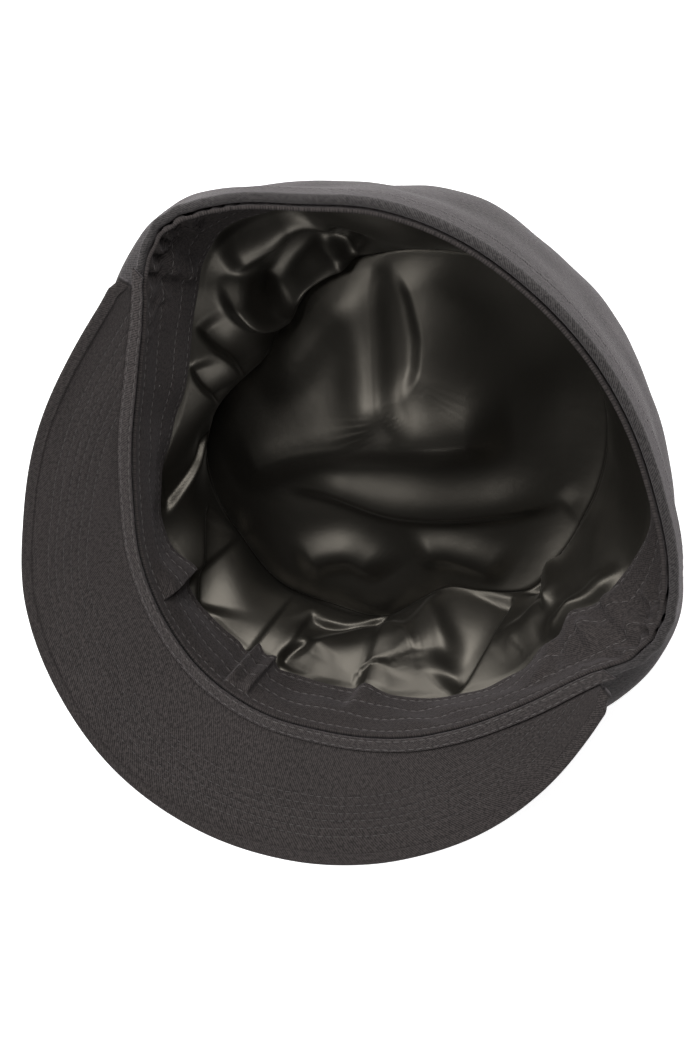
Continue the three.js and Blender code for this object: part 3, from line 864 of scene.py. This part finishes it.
# %% Stitches
def stitches(name, rows, length, pause, thickness, lift):
    """Threads along rows of points with their normals, in mm. A stitch is a tube of six-sided rings that
    bows out of the cloth as a sine of its length and thins at both ends."""
    stations, sides = 5, 6
    share = np.linspace(0, 1, stations)
    turn = np.arange(sides) * 2 * np.pi / sides
    parts = []
    for points, normals in rows:
        steps = np.linalg.norm(np.diff(points, axis=0), axis=1)
        run = np.concatenate([[0], np.cumsum(steps)])
        starts = np.arange(pause, run[-1] - length, length + pause)
        at = starts[:, None] + length * share[None, :]
        middle = np.stack([np.interp(at, run, points[:, k]) for k in range(3)], -1)
        normal = np.stack([np.interp(at, run, normals[:, k]) for k in range(3)], -1)
        normal /= np.linalg.norm(normal, axis=-1, keepdims=True)
        ahead = np.gradient(middle, axis=1)
        aside = np.cross(ahead, normal)
        aside /= np.linalg.norm(aside, axis=-1, keepdims=True)
        middle = middle + normal * (lift * np.sin(np.pi * share) - 0.3 * thickness)[None, :, None]
        radius = thickness / 2 * (0.45 + 0.55 * np.sin(np.pi * share))[None, :, None, None]
        ring = aside[:, :, None] * np.cos(turn)[:, None] + normal[:, :, None] * np.sin(turn)[:, None]
        parts.append((middle[:, :, None] + radius * ring).reshape(-1, 3))
    points = np.concatenate(parts)
    count = len(points) // (stations * sides)
    base = np.arange(count)[:, None, None] * stations * sides
    i, j = np.arange(stations - 1)[:, None] * sides, np.arange(sides)
    k = (j + 1) % sides
    start = base + i
    quads = np.stack([start + j, start + k, start + sides + k, start + sides + j], -1).reshape(-1, 4)
    first = base[:, 0]
    last = first + (stations - 1) * sides
    lids = np.concatenate([
        first + np.array([[0, 5, 4, 1]]), first + np.array([[1, 4, 3, 2]]),
        last + np.array([[0, 1, 4, 5]]), last + np.array([[1, 2, 3, 4]]),
    ])
    return mesh_object(name, points, np.concatenate([quads, lids])[:, ::-1])


def peak_row(inset):
    """Points and normals of one row on the peak's upper face, at a distance in from its edge."""
    angle = np.linspace(-peak_end + 2, peak_end - 2, 900)
    angle = angle[peak_reach(angle) > inset + 1.2]
    out = peak_reach(angle) - inset
    tilt = spot(angle, -np.sin(peak_slope), np.cos(peak_slope))
    return peak_point(angle, out, peak_lift(angle, out) + 0.04), tilt


peak_stitches = stitches("peak_stitches", [peak_row(row) for row in peak_rows], 2.0, 0.7, 0.34, 0.16)
fit(peak_stitches, "peak_twill", dark_thread)


def band_row(height):
    """Points and normals of one row round the sweatband's inner face."""
    angle = np.linspace(-180, 180, 1800)
    level = np.full_like(angle, height)
    return spot(angle, band_face(angle, level) + 0.25, level), spot(angle, -1.0, 0.15)


band_stitches = stitches("band_stitches", [band_row(row) for row in stitch_rows], 2.2, 0.8, 0.36, 0.2)
fit(band_stitches, "band_twill", pale_thread)


def tape_row(share):
    """Points and normals of one row on the seam tape."""
    angle = np.linspace(-tape_end + 0.6, tape_end - 0.6, 900)
    radius = root_radius(angle) - tape_width * (1 - share)
    return spot(angle, radius, crown_height + gap + tape_wall - tape_dimple), spot(angle, 0 * angle, 1.0)


tape_stitches = stitches("tape_stitches", [tape_row(row) for row in tape_rows], 2.2, 0.8, 0.36, 0.16)
fit(tape_stitches, "band_twill", pale_thread)

# %% [markdown]
# ## Floor, light and camera
# The cap lies on a pale floor that glows a little, so that it stays white and the shadows stay faint. Satin
# shows its folds by what it mirrors, so each lamp has a task: the one over the left side lights the slopes
# that face it, the one at the back lights the panels near the peak, and a weak low one at the front right
# reaches the left panel. The surround is white for the camera but nearly dark for the cloth, which keeps
# the hollows black. The camera looks down from behind the cap, turned so that the peak points to the
# lower left.

# %% Floor
floor_reach = 3.0
corners = [(floor_reach * x, floor_reach * y, 0) for x, y in ((-1, -1), (1, -1), (1, 1), (-1, 1))]
floor_mesh = bpy.data.meshes.new("floor")
floor_mesh.from_pydata(corners, [], [(0, 1, 2, 3)])
floor = bpy.data.objects.new("floor", floor_mesh)
bpy.context.collection.objects.link(floor)
pale = Nodes("pale_floor")
specks = pale.noise(pale.add("TexCoord").outputs["Object"], 300.0, 2.0)
greys = pale.blend(specks, colour(0.86, 0.86, 0.86), colour(0.9, 0.9, 0.9))
pale.put(pale.shader.inputs["Base Color"], greys)
pale.shader.inputs["Roughness"].default_value = 0.9
pale.shader.inputs["Emission Color"].default_value = colour(1, 1, 1)
pale.shader.inputs["Emission Strength"].default_value = 0.7
pale.shader.inputs["Specular IOR Level"].default_value = 0.1
floor_mesh.materials.append(pale.material)

# %% Camera
target = Vector((0.007, 0.005, 0.072))
back = Vector((0, 0.5, 0.866)).normalized()
right = (-0.649 * Vector((0, -0.866, 0.5)) + 0.760 * Vector((1, 0, 0))).normalized()
up = back.cross(right)
distance = 0.6
frame_pixels, pixels_per_unit = 1048, 1956
shift_right, shift_up = 22.4, 18.5
place = target + distance * back
pixel = distance / pixels_per_unit
aim = target - right * (shift_right * pixel) - up * (shift_up * pixel)
back = (place - aim).normalized()
right = (right - right.dot(back) * back).normalized()
up = back.cross(right)
camera_data = bpy.data.cameras.new("camera")
camera_data.sensor_width = 36
camera_data.lens = pixels_per_unit * camera_data.sensor_width / frame_pixels
camera_data.clip_start, camera_data.clip_end = 0.01, 20
camera = bpy.data.objects.new("camera", camera_data)
camera.matrix_world = Matrix((right, up, back)).transposed().to_4x4()
camera.location = place
bpy.context.collection.objects.link(camera)
bpy.context.scene.camera = camera
print("camera at", [round(c, 3) for c in place], "lens", round(camera_data.lens, 1))


# %% Lights
def soft_lamp(name, direction, distance, size, watts):
    """Square area lamp that stands off in a direction from the cap and looks at it."""
    lamp = bpy.data.lights.new(name, "AREA")
    lamp.size, lamp.energy = size, watts
    light = bpy.data.objects.new(name, lamp)
    direction = Vector(direction).normalized()
    light.location = Vector((0, 0, 0.05)) + direction * distance
    light.rotation_mode = "QUATERNION"
    light.rotation_quaternion = direction.to_track_quat("Z", "Y")
    bpy.context.collection.objects.link(light)


soft_lamp("over", (-0.67, -0.03, 0.74), 1.3, 0.75, 12)
soft_lamp("back", (-0.25, 0.75, 0.62), 1.3, 0.8, 17)
soft_lamp("low", (0.72, -0.53, 0.45), 1.3, 0.5, 5)
world = bpy.data.worlds.new("studio")
world.use_nodes = True
links, nodes = world.node_tree.links, world.node_tree.nodes
seen = nodes.new("ShaderNodeLightPath").outputs["Is Camera Ray"]
level = nodes.new("ShaderNodeMapRange")
level.inputs["To Min"].default_value, level.inputs["To Max"].default_value = 0.035, 0.8
links.new(seen, level.inputs["Value"])
links.new(level.outputs[0], nodes["Background"].inputs["Strength"])
nodes["Background"].inputs["Color"].default_value = (1, 1, 1, 1)
bpy.context.scene.world = world
bpy.context.scene.view_settings.view_transform = "Standard"
